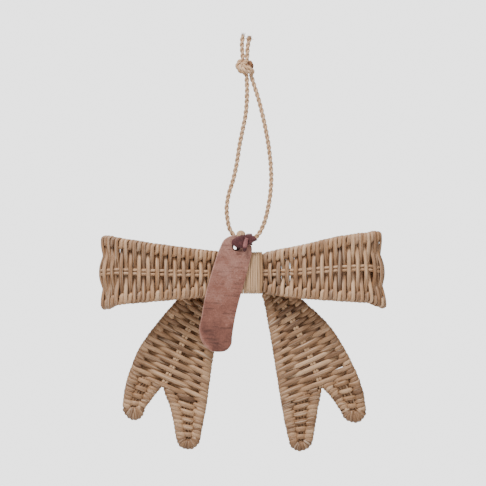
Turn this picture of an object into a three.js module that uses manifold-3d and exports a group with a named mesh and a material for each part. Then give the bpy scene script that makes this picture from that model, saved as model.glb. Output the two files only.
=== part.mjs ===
// A hanging bow ornament woven from rattan, with two forked tails, a leather tag and a loop of jute twine.
// Millimetres, +Z up, X to the viewer's right, Y away from the viewer.
// The origin is inside the top of the twine loop, where a nail or hook holds the ornament.

import * as THREE from "three";
import { mergeVertices } from "three/addons/utils/BufferGeometryUtils.js";
import Module from "manifold-3d";

// Touching pieces keep this gap
const GAP = 0.3;

// Rattan weave: strands pass over and under the stakes in turn
const STRAND = 2.6;
const STAKE = 2.5;
const ROW_PITCH = 3.74;
const RIM_ROD_INSET = 4.2;
const MID_ROD_HALF = 2.5;
const LAYER_HALF = (STAKE + STRAND) / 2;
const OVER = STAKE / 2 + STRAND;
const UNDER = STAKE / 2;
const CROSSING = STRAND / 2;
const LAYERS_APART = 1.0;

// Where the middle of the bow lies below the origin
const BOW_X = -3.9;
const BOW_Z = -165.8;

// The two loops of the bow: how far each reaches, and its half height and middle height at root and end
const LEFT_LOOP = { reach: 122.1, rootHalf: 18.4, endHalf: 29.0, rootMiddle: -1.4, endMiddle: -0.2 };
const RIGHT_LOOP = { reach: 121.9, rootHalf: 17.3, endHalf: 29.2, rootMiddle: -0.6, endMiddle: 3.4 };
const LOOP_FRONT_BULGE = 11.4;
const LOOP_BACK_DIP = 2.1;
const END_BUMP = 2.2;
const END_BUMP_LENGTH = 9;
const RELIEF_START = 13;
const MIDDLE_STEP = 4;

// The band of peeled rattan strips round the middle
const WRAP_HALF_WIDTH = 16;
const WRAP_HALF_HEIGHT = 17.25;
const WRAP_WALL = 1.6;
const WRAP_STRIPS = 7;
const WRAP_STRIP_CROWN = 0.45;
const WRAP_STEPS = 22;
const WRAP_SQUARENESS = 6;
const BOUND_EDGE_INSET = 1.3;
const WRAP_SLACK = 0.25;

// The tails' necks pass under the wrap behind the loops
const NECK_THICKNESS = 4;
const NECK_TOP = 3.5;
const NECK_BOTTOM = -9.5;
const NECK_ROWS = 4;
const TAIL_SLACK = 0.1;

// The tails, from the middle of the bow: outer edge, spine and inner edge down to the fork, then the lobes
const LEFT_TAIL = {
  side: -1,
  outer: [[46, -13.5], [56.4, -23], [78.1, -48.6], [90, -66], [97.5, -84]],
  spine: [[31.5, -24.5], [40.8, -38.5], [49, -53], [58.1, -75.7], [68.4, -96.4]],
  inner: [[18.6, -32], [21.2, -46], [24, -62], [27.2, -84], [30.8, -112]],
  outerLobe: {
    outside: [[101.8, -100], [103.5, -113.5]],
    inside: [[76, -106], [84, -116.5]],
    tip: [94, -126.8],
  },
  innerLobe: {
    outside: [[62, -117], [60.2, -127.3], [57.6, -141.5]],
    inside: [[33.3, -125.5], [36.4, -142]],
    tip: [47.4, -151.8],
  },
};
const RIGHT_TAIL = {
  side: 1,
  outer: [[40, -13.5], [49.6, -22.7], [73.6, -45.5], [89.1, -69.7], [97, -86]],
  spine: [[30, -23], [39, -36], [47.5, -53], [56.8, -72], [66.9, -98.5]],
  inner: [[18.4, -31], [20.8, -44], [23.6, -60], [27.2, -83], [31.6, -111]],
  outerLobe: {
    outside: [[102.8, -102.8], [104.8, -117]],
    inside: [[74, -106], [82.5, -118]],
    tip: [95.2, -129],
  },
  innerLobe: {
    outside: [[64.2, -113], [62.1, -127], [59.5, -143]],
    inside: [[35.4, -131.8], [38.4, -144]],
    tip: [48.7, -153.1],
  },
};
const TIP_TURNS = [0.5, 0.82, 0.97];
const TIP_CLOSED = 0.12;

// The leather tag, its tilt in the picture plane and the turn that rests it on wrap and left loop
const TAG_WIDTH = 29;
const TAG_LENGTH = 100;
const TAG_THICKNESS = 2.6;
const TAG_BEVEL = 0.4;
const TAG_EDGE_POINTS = 42;
const TAG_TILT = THREE.MathUtils.degToRad(13);
const TAG_YAW = THREE.MathUtils.degToRad(3.8);
const TAG_HOLE_WIDTH = 7.2;
const TAG_HOLE_HEIGHT = 8.2;
const TAG_HOLE_X = -6.1;
const TAG_HOLE_Z = 22.3;
const TAG_STAND_OFF = 0.75;

// The hand-cut edge of the tag from its hole, as shares of its width and length
const TAG_EDGE = [
  [0.01, 0.086], [-0.2, 0.076], [-0.39, 0.027], [-0.455, -0.046], [-0.503, -0.143], [-0.552, -0.363],
  [-0.562, -0.458], [-0.528, -0.673], [-0.52, -0.746], [-0.431, -0.825], [-0.266, -0.88], [-0.034, -0.915],
  [0.183, -0.911], [0.39, -0.886], [0.5, -0.828], [0.472, -0.758], [0.432, -0.58], [0.441, -0.42],
  [0.47, -0.27], [0.483, -0.113], [0.483, -0.034], [0.441, 0.022], [0.26, 0.055],
];

// Jute twine, and the route of its loop from the knot through the eye and back
const TWINE = 3.6;
const TWINE_SIDES = 8;
const TWINE_STEPS = 45;
const TWINE_TOP = 1.6;
const TWINE_ROUTE = [
  [-1.2, -1.2, TWINE_TOP], [-0.9, -1, -7.6], [-1.0, -0.4, -19.5], [-2.2, 0, -32.6], [-4.8, 0, -45.7],
  [-7.4, 0, -58.8], [-9.6, 0, -73.2], [-12.4, 0, -86.3], [-16.4, 0, -99.4], [-18.2, 0, -111.3],
  [-17.5, 0, -120.9], [-15.9, 0, -128.4], [-13.6, 0, -132.6], [-10.4, 0, -136.2], [-5.4, 0, -138.0],
  [2.6, 0, -137.8], [7.8, 0, -135.0], [11.7, 0, -128.8], [14.2, 0, -122.6], [17.2, 0, -110.4],
  [19.4, 0, -94.6], [19.6, 0, -80.3], [18.3, 0, -64.8], [15.5, 0, -46.9], [11.6, 0.2, -29.1],
  [8.1, 0.6, -15.9], [4.6, 1.0, -5.0], [2.6, 1.2, TWINE_TOP],
];
const EYE_POINT = TWINE_ROUTE[14];

// The overhand knot, its diagonal bands and the two free ends
const KNOT_CENTRE = [-2.6, 0, 8.7];
const KNOT_HALF = [7.8, 5.4, 6.6];
const KNOT_CORE_INSET = 1.2;
const KNOT_BANDS = 3;
const KNOT_BAND_TILT = THREE.MathUtils.degToRad(35);
const KNOT_ENDS = [
  [[-5.2, 0.6, 8], [-4.9, 0.6, 16], [-4.2, 0.4, 25], [-4.5, 0.2, 36.2]],
  [[1.2, -0.6, 8], [0.4, -0.6, 16], [0.7, -0.4, 26], [2.0, -0.2, 35.2]],
];

// The peeled rattan eye on the wrap
const EYE_X = -2.2;
const EYE_WIDTH = 7.6;
const EYE_THICKNESS = 2.0;
const EYE_INSIDE_HALF = 3.4;
const EYE_TWINE_CLEARANCE = 4;
const EYE_STEPS = 9;

// The leather thong that ties the tag to the twine
const THONG_THICKNESS = 1.6;
const THONG_WIDTH = 5.2;
const THONG_TWINE_X = 4.8;
const THONG_END = [[2.6, 27.6], [1.6, 24.4], [0.4, 17.6]];
const THONG_END_WIDTH = 4.4;
const THONG_END_LIFT = 2.2;
const THONG_STEPS = 32;
const THONG_SLACK = 1.0;
const THONG_HOLE_WIDTH = 4.4;

// The broad front of the thong, from the hole to its pointed end, seen from the front
const THONG_FRONT = [
  [-9.0, 23.6], [-7.6, 27.4], [-5.6, 29.8], [-1.7, 31.3], [4.0, 32.2], [8.2, 30.9], [11.8, 27.2],
  [8.2, 25.1], [4.0, 23.1], [-1.0, 21.6], [-3.6, 20.8], [-5.4, 22.0],
];

const wasm = await Module();
wasm.setup();

// Depths of what the wrap holds, from front to back, with its inside as deep as they need
const WRAP_INSIDE_HALF_DEPTH = (4 * LAYER_HALF + LAYERS_APART + NECK_THICKNESS + 3 * GAP) / 2 + WRAP_SLACK;
const WRAP_HALF_DEPTH = WRAP_INSIDE_HALF_DEPTH + WRAP_WALL;
const FRONT_LAYER_Y = -WRAP_INSIDE_HALF_DEPTH + WRAP_SLACK + GAP + LAYER_HALF;
const BACK_LAYER_Y = FRONT_LAYER_Y + 2 * LAYER_HALF + LAYERS_APART;
const NECK_FRONT_Y = BACK_LAYER_Y + LAYER_HALF + GAP;
const NECK_BACK_Y = NECK_FRONT_Y + NECK_THICKNESS;
const TAIL_Y = BACK_LAYER_Y - LOOP_BACK_DIP + 2 * OVER + GAP + TAIL_SLACK;

// Heights of the twine where it runs through the eye, from the middle of the bow
const EYE_TWINE_Z = EYE_POINT[2] - BOW_Z;
const EYE_INSIDE_TOP = EYE_TWINE_Z + TWINE / 2 + EYE_TWINE_CLEARANCE;

function signedVolume(positions, index) {
  const corner = [new THREE.Vector3(), new THREE.Vector3(), new THREE.Vector3()];
  let volume = 0;
  for (let i = 0; i < index.length; i += 3) {
    corner.forEach((c, k) => c.fromArray(positions, 3 * index[i + k]));
    volume += corner[0].dot(corner[1].cross(corner[2])) / 6;
  }
  return volume;
}

// A closed surface through rings of equally many points, joined into a loop or capped at both ends
function skin(rings, isLoop) {
  const count = rings[0].length;
  const positions = rings.flat().flatMap((p) => [p.x, p.y, p.z]);
  const index = [];
  const strips = isLoop ? rings.length : rings.length - 1;
  for (let i = 0; i < strips; i += 1) {
    const here = i * count;
    const next = ((i + 1) % rings.length) * count;
    for (let j = 0; j < count; j += 1) {
      const k = (j + 1) % count;
      index.push(here + j, next + j, next + k, here + j, next + k, here + k);
    }
  }
  if (!isLoop) {
    const last = (rings.length - 1) * count;
    capFan(positions, index, rings[0], 0, true);
    capFan(positions, index, rings[rings.length - 1], last, false);
  }
  if (signedVolume(positions, index) < 0) {
    index.reverse();
  }
  const geometry = new THREE.BufferGeometry();
  geometry.setAttribute("position", new THREE.Float32BufferAttribute(positions, 3));
  geometry.setIndex(index);
  return geometry;
}

function capFan(positions, index, ring, start, isFirst) {
  const middle = ring.reduce((sum, p) => sum.add(p), new THREE.Vector3()).divideScalar(ring.length);
  const centre = positions.length / 3;
  positions.push(middle.x, middle.y, middle.z);
  ring.forEach((_, j) => {
    const here = start + j;
    const next = start + ((j + 1) % ring.length);
    index.push(...(isFirst ? [centre, here, next] : [centre, next, here]));
  });
}

function solidOf(geometry) {
  const bare = geometry.clone();
  bare.deleteAttribute("normal");
  bare.deleteAttribute("uv");
  const merged = mergeVertices(bare, 1e-4);
  return new wasm.Manifold(
    new wasm.Mesh({
      numProp: 3,
      vertProperties: new Float32Array(merged.attributes.position.array),
      triVerts: new Uint32Array(merged.index.array),
    }),
  );
}

function geometryOf(solid) {
  const mesh = solid.getMesh();
  const geometry = new THREE.BufferGeometry();
  geometry.setAttribute("position", new THREE.BufferAttribute(mesh.vertProperties, 3));
  geometry.setIndex(new THREE.BufferAttribute(mesh.triVerts, 1));
  return geometry;
}

function joined(geometries) {
  return geometries.map(solidOf).reduce((sum, piece) => sum.add(piece));
}

function smoothstep(from, to, value) {
  return THREE.MathUtils.smoothstep(value, from, to);
}

// The plan of the woven strip: out along the front, round the end of each loop, back along the back
function loopPlan() {
  const half = (reach, side) => {
    const end = reach - OVER;
    const front = (share) => FRONT_LAYER_Y - LOOP_FRONT_BULGE * share;
    const back = BACK_LAYER_Y - LOOP_BACK_DIP;
    const root = WRAP_HALF_WIDTH + 1;
    return [
      [MIDDLE_STEP, front(0)], [root, front(0)], [root + 9, front(0.15)], [0.38 * end, front(0.52)],
      [0.6 * end, front(0.9)], [0.79 * end, front(1)], [end - 9.5, front(0.76)], [end, front(0.15)],
      [end - 6, back - 0.2],
      [end - 19, back - 0.2], [0.5 * end, back - 0.2], [root + 9, back], [root, BACK_LAYER_Y],
      [MIDDLE_STEP, BACK_LAYER_Y],
    ].map(([x, y]) => new THREE.Vector3(side * x, y, 0));
  };
  const right = half(RIGHT_LOOP.reach, 1);
  const left = half(LEFT_LOOP.reach, -1).reverse();
  return new THREE.CatmullRomCurve3([...right, ...left], true, "centripetal");
}

// Middle height and half height of the woven strip at a distance from the middle of the bow
function stripHeights(x) {
  const loop = x < 0 ? LEFT_LOOP : RIGHT_LOOP;
  const far = Math.abs(x);
  const share = THREE.MathUtils.clamp((far - WRAP_HALF_WIDTH) / (loop.reach - WRAP_HALF_WIDTH), 0, 1);
  const underWrap = WRAP_HALF_HEIGHT - WRAP_WALL - BOUND_EDGE_INSET;
  const open = smoothstep(WRAP_HALF_WIDTH + ROW_PITCH, WRAP_HALF_WIDTH + 2 * ROW_PITCH, far);
  const bump = END_BUMP * smoothstep(loop.reach - END_BUMP_LENGTH - 5, loop.reach - END_BUMP_LENGTH, far);
  const half = loop.rootHalf + (loop.endHalf - loop.rootHalf) * share + bump;
  const middle = loop.rootMiddle + (loop.endMiddle - loop.rootMiddle) * share;
  return { middle: middle * open, half: underWrap + (half - underWrap) * open };
}

// One upright section of the woven strip; both rims are wrapped, and on odd rows the strand passes
// over the middle stake
function stripSection(place, outward, row) {
  const { middle, half } = stripHeights(place.x);
  const relief = smoothstep(WRAP_HALF_WIDTH + 1, WRAP_HALF_WIDTH + RELIEF_START, Math.abs(place.x));
  const eased = (depth) => LAYER_HALF + (depth - LAYER_HALF) * relief;
  const isOdd = row % 2 === 1;
  const cross = eased(CROSSING);
  const over = eased(OVER);
  const under = eased(UNDER);
  const front = isOdd ? over : under;
  const back = isOdd ? under : over;
  const rod = half - RIM_ROD_INSET;
  const between = (rod + MID_ROD_HALF) / 2;
  const profile = [
    [0, half], [over, rod], [cross, between], [front, MID_ROD_HALF],
    [front, -MID_ROD_HALF], [cross, -between], [over, -rod], [0, -half],
    [-over, -rod], [-cross, -between], [-back, -MID_ROD_HALF],
    [-back, MID_ROD_HALF], [-cross, between], [-over, rod],
  ];
  return profile.map(([depth, z]) => place.clone().addScaledVector(outward, depth).setZ(middle + z));
}

function bowBody() {
  const plan = loopPlan();
  const rows = 2 * Math.round(plan.getLength() / ROW_PITCH / 2);
  const rings = [];
  for (let row = 0; row < rows; row += 1) {
    const tangent = plan.getTangentAt(row / rows);
    const outward = new THREE.Vector3(tangent.y, -tangent.x, 0);
    rings.push(stripSection(plan.getPointAt(row / rows), outward, row));
  }
  return skin(rings, true);
}

// A rounded box outline round the X axis, as the wrap's inside or outside
function bandPoint(x, halfDepth, halfHeight, angle) {
  const power = 2 / WRAP_SQUARENESS;
  const depth = Math.sign(Math.cos(angle)) * Math.abs(Math.cos(angle)) ** power;
  const height = Math.sign(Math.sin(angle)) * Math.abs(Math.sin(angle)) ** power;
  return new THREE.Vector3(x, halfDepth * depth, halfHeight * height);
}

function wrapRing(angle, grow) {
  const strip = (2 * WRAP_HALF_WIDTH) / WRAP_STRIPS;
  const ring = [];
  for (let i = 0; i <= 2 * WRAP_STRIPS; i += 1) {
    const x = -WRAP_HALF_WIDTH + (i * strip) / 2;
    const sink = i % 2 === 0 ? WRAP_STRIP_CROWN : 0;
    ring.push(bandPoint(x, WRAP_HALF_DEPTH - sink + grow, WRAP_HALF_HEIGHT - sink + grow, angle));
  }
  const insideHalfHeight = WRAP_HALF_HEIGHT - WRAP_WALL;
  ring.push(bandPoint(WRAP_HALF_WIDTH, WRAP_INSIDE_HALF_DEPTH, insideHalfHeight, angle));
  ring.push(bandPoint(-WRAP_HALF_WIDTH, WRAP_INSIDE_HALF_DEPTH, insideHalfHeight, angle));
  return ring;
}

// The wrap's closed band, or the same a little larger, to cut what stands on it
function wrapBand(grow) {
  const rings = [];
  for (let i = 0; i < WRAP_STEPS; i += 1) {
    rings.push(wrapRing(((i + 0.5) * 2 * Math.PI) / WRAP_STEPS, grow));
  }
  return skin(rings, true);
}

// The eye: a strip bent up from the wrap, over the twine and down again
function hangingEye() {
  const middleHalf = EYE_INSIDE_HALF + EYE_THICKNESS / 2;
  const archZ = EYE_INSIDE_TOP - EYE_INSIDE_HALF;
  const path = [[-middleHalf, WRAP_HALF_HEIGHT - WRAP_WALL]];
  for (let i = 0; i <= EYE_STEPS; i += 1) {
    const angle = Math.PI - (i * Math.PI) / EYE_STEPS;
    path.push([middleHalf * Math.cos(angle), archZ + middleHalf * Math.sin(angle)]);
  }
  path.push([middleHalf, WRAP_HALF_HEIGHT - WRAP_WALL]);
  const points = path.map(([y, z]) => new THREE.Vector3(EYE_X, y, z));
  const widths = points.map(() => EYE_WIDTH);
  const arch = solidOf(strap(points, widths, EYE_THICKNESS, false));
  return geometryOf(arch.subtract(solidOf(wrapBand(GAP))));
}

// A flat strap along points, as wide along X as each width says
function strap(points, widths, thickness, isLoop) {
  const count = points.length;
  const rings = points.map((point, i) => {
    const before = points[isLoop ? (i + count - 1) % count : Math.max(i - 1, 0)];
    const after = points[isLoop ? (i + 1) % count : Math.min(i + 1, count - 1)];
    const along = after.clone().sub(before).setX(0).normalize();
    const out = new THREE.Vector3(0, -along.z, along.y).multiplyScalar(thickness / 2);
    const side = new THREE.Vector3(widths[i] / 2, 0, 0);
    return [
      point.clone().add(side).add(out), point.clone().sub(side).add(out),
      point.clone().sub(side).sub(out), point.clone().add(side).sub(out),
    ];
  });
  return skin(rings, isLoop);
}

// Points at equal steps down an edge of a tail, on its own side of the bow
function edgePoints(list, side, steps) {
  const curve = new THREE.CatmullRomCurve3(
    list.map(([x, z]) => new THREE.Vector3(side * x, 0, z)), false, "centripetal",
  );
  return curve.getSpacedPoints(steps);
}

// A section across a tail between two edges, over both faces at its wrapped rims
function tailSection(from, to, rods, row, relief) {
  const stops = [];
  rods.forEach((rod, i) => {
    if (i > 0) {
      stops.push([(rods[i - 1].share + rod.share) / 2, CROSSING, CROSSING]);
    }
    const isOver = row % 2 === 0;
    stops.push([rod.share, rod.isRim || isOver ? OVER : UNDER, rod.isRim || !isOver ? OVER : UNDER]);
  });
  const eased = (depth) => NECK_THICKNESS / 2 + (depth - NECK_THICKNESS / 2) * relief;
  const at = (share, depth) => from.clone().lerp(to, share).add(new THREE.Vector3(0, depth, 0));
  return [
    at(0, 0), ...stops.map(([share, over]) => at(share, -eased(over))),
    at(1, 0), ...[...stops].reverse().map(([share, , under]) => at(share, eased(under))),
  ].map((point) => point.setY(point.y + TAIL_Y));
}

function tailPanel(tail, rows) {
  const outer = edgePoints(tail.outer, tail.side, rows);
  const inner = edgePoints(tail.inner, tail.side, rows);
  const spine = edgePoints(tail.spine, tail.side, rows);
  const rings = outer.map((from, row) => {
    const to = inner[row];
    const width = from.distanceTo(to);
    const edge = RIM_ROD_INSET / 2 / width;
    const middle = from.distanceTo(spine[row]) / width;
    const rods = [{ share: edge, isRim: true }, { share: middle }, { share: 1 - edge, isRim: true }];
    return tailSection(from, to, rods, row, smoothstep(0, NECK_ROWS, row));
  });
  return skin(rings, false);
}

// A lobe runs on from the last rows of the panel and closes round its tip
function tailLobe(tail, lobe, topOutside, topInside, firstRow) {
  const shoulders = [lobe.outside.at(-1), lobe.inside.at(-1)];
  const outsideList = [...topOutside, ...lobe.outside];
  const insideList = [...topInside, ...lobe.inside];
  const length = Math.abs(topOutside[0][1] - shoulders[0][1]);
  const rows = Math.round(length / ROW_PITCH);
  const outside = edgePoints(outsideList, tail.side, rows);
  const inside = edgePoints(insideList, tail.side, rows);
  const tip = new THREE.Vector3(tail.side * lobe.tip[0], 0, lobe.tip[1]);
  const middle = outside[rows].clone().add(inside[rows]).divideScalar(2);
  TIP_TURNS.forEach((turn) => {
    const centre = middle.clone().lerp(tip, turn);
    const narrow = Math.max(Math.sqrt(1 - turn * turn), TIP_CLOSED);
    const half = outside[rows].clone().sub(inside[rows]).multiplyScalar(narrow / 2);
    outside.push(centre.clone().add(half));
    inside.push(centre.clone().sub(half));
  });
  const rings = outside.map((from, i) => {
    const edge = Math.min(RIM_ROD_INSET / 2 / from.distanceTo(inside[i]), 0.3);
    const rods = [{ share: edge, isRim: true }, { share: 1 - edge, isRim: true }];
    return tailSection(from, inside[i], rods, firstRow + i, 1);
  });
  return skin(rings, false);
}

// The flat neck of a tail, from under the wrap to its first woven rows
function tailNeck(tail) {
  const outline = new THREE.Shape();
  const points = [
    [GAP, NECK_BOTTOM], [WRAP_HALF_WIDTH + 1, NECK_BOTTOM], [tail.inner[0][0] + 2, tail.inner[0][1]],
    [tail.spine[0][0], tail.spine[0][1] - 4], [tail.outer[0][0] - 2, tail.outer[0][1] - 2],
    [tail.outer[0][0] - 14, NECK_TOP - 5], [WRAP_HALF_WIDTH, NECK_TOP], [GAP, NECK_TOP],
  ];
  outline.setFromPoints(points.map(([x, z]) => new THREE.Vector2(tail.side * x, z)));
  const plate = new THREE.ExtrudeGeometry(outline, { depth: NECK_THICKNESS, bevelEnabled: false });
  plate.rotateX(Math.PI / 2);
  plate.translate(0, NECK_BACK_Y, 0);
  return plate;
}

function tailSolid(tail) {
  const length = new THREE.CatmullRomCurve3(
    tail.outer.map(([x, z]) => new THREE.Vector3(x, 0, z)), false, "centripetal",
  ).getLength();
  const rows = Math.round(length / ROW_PITCH);
  const last = (list) => edgePoints(list, 1, rows).slice(rows - 1).map((p) => [p.x, p.z]);
  const [outer, spine, inner] = [last(tail.outer), last(tail.spine), last(tail.inner)];
  const pieces = [
    tailNeck(tail),
    tailPanel(tail, rows),
    tailLobe(tail, tail.outerLobe, outer, spine, rows - 1),
    tailLobe(tail, tail.innerLobe, spine, inner, rows - 1),
  ];
  return geometryOf(joined(pieces));
}

// The tag's outline round its hole
function tagShape() {
  const edge = new THREE.CatmullRomCurve3(
    TAG_EDGE.map(([x, z]) => new THREE.Vector3(x * TAG_WIDTH, z * TAG_LENGTH, 0)), true, "centripetal",
  );
  const points = edge.getSpacedPoints(TAG_EDGE_POINTS).slice(0, TAG_EDGE_POINTS);
  const shape = new THREE.Shape(points.map((point) => new THREE.Vector2(point.x, point.y)));
  const hole = new THREE.Path();
  hole.absellipse(0, 0, TAG_HOLE_WIDTH / 2, TAG_HOLE_HEIGHT / 2, 0, 2 * Math.PI, true);
  shape.holes.push(hole);
  return shape;
}

// Where the back of the tag lies over a place on the bow
function tagBackY(x) {
  return -WRAP_HALF_DEPTH - TAG_STAND_OFF + Math.tan(TAG_YAW) * (x - TAG_HOLE_X);
}

function leatherTag() {
  const slab = new THREE.ExtrudeGeometry(tagShape(), {
    depth: TAG_THICKNESS - 2 * TAG_BEVEL, bevelEnabled: true, bevelThickness: TAG_BEVEL,
    bevelSize: TAG_BEVEL, bevelOffset: -TAG_BEVEL, bevelSegments: 1, curveSegments: 7,
  });
  slab.rotateX(Math.PI / 2);
  slab.translate(0, -TAG_BEVEL, 0);
  return slab;
}

// The thong runs through the hole, up over the front of the tag and round the twine, in a closed ring
function thongRing() {
  const backY = tagBackY(TAG_HOLE_X);
  const clear = GAP + THONG_THICKNESS / 2;
  const frontY = backY - TAG_THICKNESS - clear;
  const round = TWINE / 2 + clear + THONG_SLACK;
  const hole = TAG_HOLE_Z + TAG_HOLE_HEIGHT / 2 - THONG_THICKNESS;
  const holeX = TAG_HOLE_X + 0.5;
  const knots = [
    [holeX, backY + clear + 0.9, hole + 0.6], [holeX, (backY + frontY) / 2, hole - 1.3],
    [holeX + 0.4, frontY - 0.2, hole + 0.3], [holeX + 4.6, frontY, hole + 4.4],
    [THONG_TWINE_X - 2.2, frontY, EYE_TWINE_Z + 1.4],
    [THONG_TWINE_X - 0.4, frontY + 3.4, EYE_TWINE_Z + 3.2],
    [THONG_TWINE_X, 0, EYE_TWINE_Z + round], [THONG_TWINE_X, round, EYE_TWINE_Z],
    [THONG_TWINE_X, 0, EYE_TWINE_Z - round], [THONG_TWINE_X, -6, EYE_TWINE_Z - 4.4],
  ];
  const curve = new THREE.CatmullRomCurve3(
    knots.map(([x, y, z]) => new THREE.Vector3(x, y, z)), true, "centripetal",
  );
  const points = curve.getSpacedPoints(THONG_STEPS).slice(0, THONG_STEPS);
  const widths = points.map((point) => (point.x < TAG_HOLE_X + 2 ? THONG_HOLE_WIDTH : THONG_WIDTH));
  return strap(points, widths, THONG_THICKNESS, true);
}

// The broad front with its pointed end to the right, and the end that hangs down over it
function thongTie() {
  const back = tagBackY(THONG_FRONT[0][0]) - TAG_THICKNESS - GAP;
  const outline = new THREE.Shape(THONG_FRONT.map(([x, z]) => new THREE.Vector2(x, z)));
  const broad = new THREE.ExtrudeGeometry(outline, { depth: THONG_THICKNESS, bevelEnabled: false });
  broad.rotateX(Math.PI / 2);
  broad.translate(0, back, 0);
  const points = THONG_END.map(([x, z]) => new THREE.Vector3(x, back - THONG_END_LIFT, z));
  return [broad, strap(points, points.map(() => THONG_END_WIDTH), THONG_THICKNESS, false)];
}

function tagThong() {
  return geometryOf(joined([thongRing(), ...thongTie()]));
}

function roundSection(diameter, sides) {
  const points = [];
  for (let i = 0; i < sides; i += 1) {
    const angle = (i * 2 * Math.PI) / sides;
    points.push(new THREE.Vector2(Math.cos(angle), Math.sin(angle)).multiplyScalar(diameter / 2));
  }
  return new THREE.Shape(points);
}

function tube(route, diameter, sides, steps) {
  const path = new THREE.CatmullRomCurve3(route.map((p) => new THREE.Vector3(...p)), false, "centripetal");
  return new THREE.ExtrudeGeometry(roundSection(diameter, sides), { steps, extrudePath: path });
}

// The knot: a rounded core with diagonal bands and the two free ends, cut flat above the loop's strands
function twineKnot() {
  const core = new THREE.SphereGeometry(1, 12, 8);
  core.scale(...KNOT_HALF.map((half) => half - KNOT_CORE_INSET));
  core.translate(...KNOT_CENTRE);
  const bands = [];
  for (let i = 0; i < KNOT_BANDS; i += 1) {
    const shift = i - (KNOT_BANDS - 1) / 2;
    const reach = Math.cos(shift * 0.75);
    const band = new THREE.TorusGeometry(1, 0.36, 5, 12);
    band.scale((KNOT_HALF[0] - TWINE / 2) * reach, (KNOT_HALF[1] - TWINE / 2 + 1) * reach, TWINE * 1.25);
    band.rotateX(Math.PI / 2);
    band.translate(0, 0, shift * TWINE * 1.1);
    band.rotateY(KNOT_BAND_TILT);
    band.translate(...KNOT_CENTRE);
    bands.push(band);
  }
  const ends = KNOT_ENDS.map((route) => tube(route, TWINE, TWINE_SIDES, 5));
  const reach = 2 * KNOT_ENDS[0].at(-1)[2];
  const above = new THREE.BoxGeometry(reach, reach, reach);
  above.translate(KNOT_CENTRE[0], 0, TWINE_TOP + GAP + reach / 2);
  return geometryOf(joined([core, ...bands, ...ends]).intersect(solidOf(above)));
}

function finish(color, roughness) {
  return new THREE.MeshStandardMaterial({ color, roughness, metalness: 0 });
}

function named(name, geometry, material) {
  const mesh = new THREE.Mesh(geometry, material);
  mesh.name = name;
  return mesh;
}

const rattan = finish(0xb0906a, 0.6);
const peeled = finish(0xc0a47c, 0.55);
const tailRattan = finish(0xa8845c, 0.62);
const jute = finish(0xcaa97c, 0.9);
const leather = finish(0xa6807a, 0.7);
const thong = finish(0x5c3a38, 0.65);

const roll = new THREE.Group();
roll.rotation.y = TAG_TILT;
roll.add(named("leather_tag", leatherTag(), leather));
const tag = new THREE.Group();
tag.rotation.z = TAG_YAW;
tag.position.set(TAG_HOLE_X, tagBackY(TAG_HOLE_X), TAG_HOLE_Z);
tag.add(roll);

const bow = new THREE.Group();
bow.position.set(BOW_X, 0, BOW_Z);
bow.add(named("bow_body", bowBody(), rattan));
bow.add(named("centre_wrap", wrapBand(0), peeled));
bow.add(named("hanging_eye", hangingEye(), peeled));
bow.add(named("left_tail", tailSolid(LEFT_TAIL), tailRattan));
bow.add(named("right_tail", tailSolid(RIGHT_TAIL), tailRattan));
bow.add(named("tag_thong", tagThong(), thong));
bow.add(tag);

const ornament = new THREE.Group();
ornament.add(bow);
ornament.add(named("twine_loop", tube(TWINE_ROUTE, TWINE, TWINE_SIDES, TWINE_STEPS), jute));
ornament.add(named("twine_knot", twineKnot(), jute));

export default ornament;
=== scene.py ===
import math

import bpy
import numpy as np
from mathutils import Matrix, Vector


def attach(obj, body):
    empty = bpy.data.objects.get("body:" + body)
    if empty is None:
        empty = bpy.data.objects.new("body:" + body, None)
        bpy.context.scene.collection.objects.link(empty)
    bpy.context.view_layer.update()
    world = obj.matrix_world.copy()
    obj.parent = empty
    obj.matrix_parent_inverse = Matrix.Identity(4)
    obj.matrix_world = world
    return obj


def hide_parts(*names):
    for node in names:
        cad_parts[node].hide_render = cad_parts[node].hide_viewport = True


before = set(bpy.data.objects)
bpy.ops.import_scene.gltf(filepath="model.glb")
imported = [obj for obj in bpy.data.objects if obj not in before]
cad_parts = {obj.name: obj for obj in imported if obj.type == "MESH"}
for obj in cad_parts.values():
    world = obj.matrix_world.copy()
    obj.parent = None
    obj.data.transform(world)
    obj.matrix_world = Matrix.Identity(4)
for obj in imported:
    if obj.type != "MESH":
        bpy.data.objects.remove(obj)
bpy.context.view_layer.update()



def metres(shape):
    """Millimetres as metres, for a number or for each one in a list, tuple or dict."""
    if isinstance(shape, dict):
        return {name: metres(part) for name, part in shape.items()}
    if isinstance(shape, (list, tuple)):
        return type(shape)(metres(part) for part in shape)
    return shape / 1000


# Rattan weave, in metres, as in the model: strands pass over and under the stakes in turn
STRAND = 0.0026
STAKE = 0.0025
ROW_PITCH = 0.00374
OVER = STAKE / 2 + STRAND
SWING = (STAKE + STRAND) / 2
RIM_INSET = STRAND + STAKE / 2
STRAND_HALF_WIDTH = 0.00176
TAIL_STRAND_HALF_WIDTH = 0.00206
STRAND_HALF_DEPTH = 0.00118
STRAND_STEP = 0.0014
STRAND_WAVER = 0.00011
TURN_STEPS = 7
RIM_TURN_STEPS = 6
ODD_ROW_SHIFT = 0.00022
ROD_STEP = 0.0019

# A flat strip's section: places across it, the height of its face there, and how far that is crowned
STRIP_PLACES = np.array([-1, -0.93, -0.75, -0.4, 0, 0.4, 0.75, 0.93, 1])
STRIP_HEIGHTS = np.array([0.1, 0.62, 0.86, 0.97, 1, 0.97, 0.86, 0.62, 0.1])
STRIP_CROWN = 0.3

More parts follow.
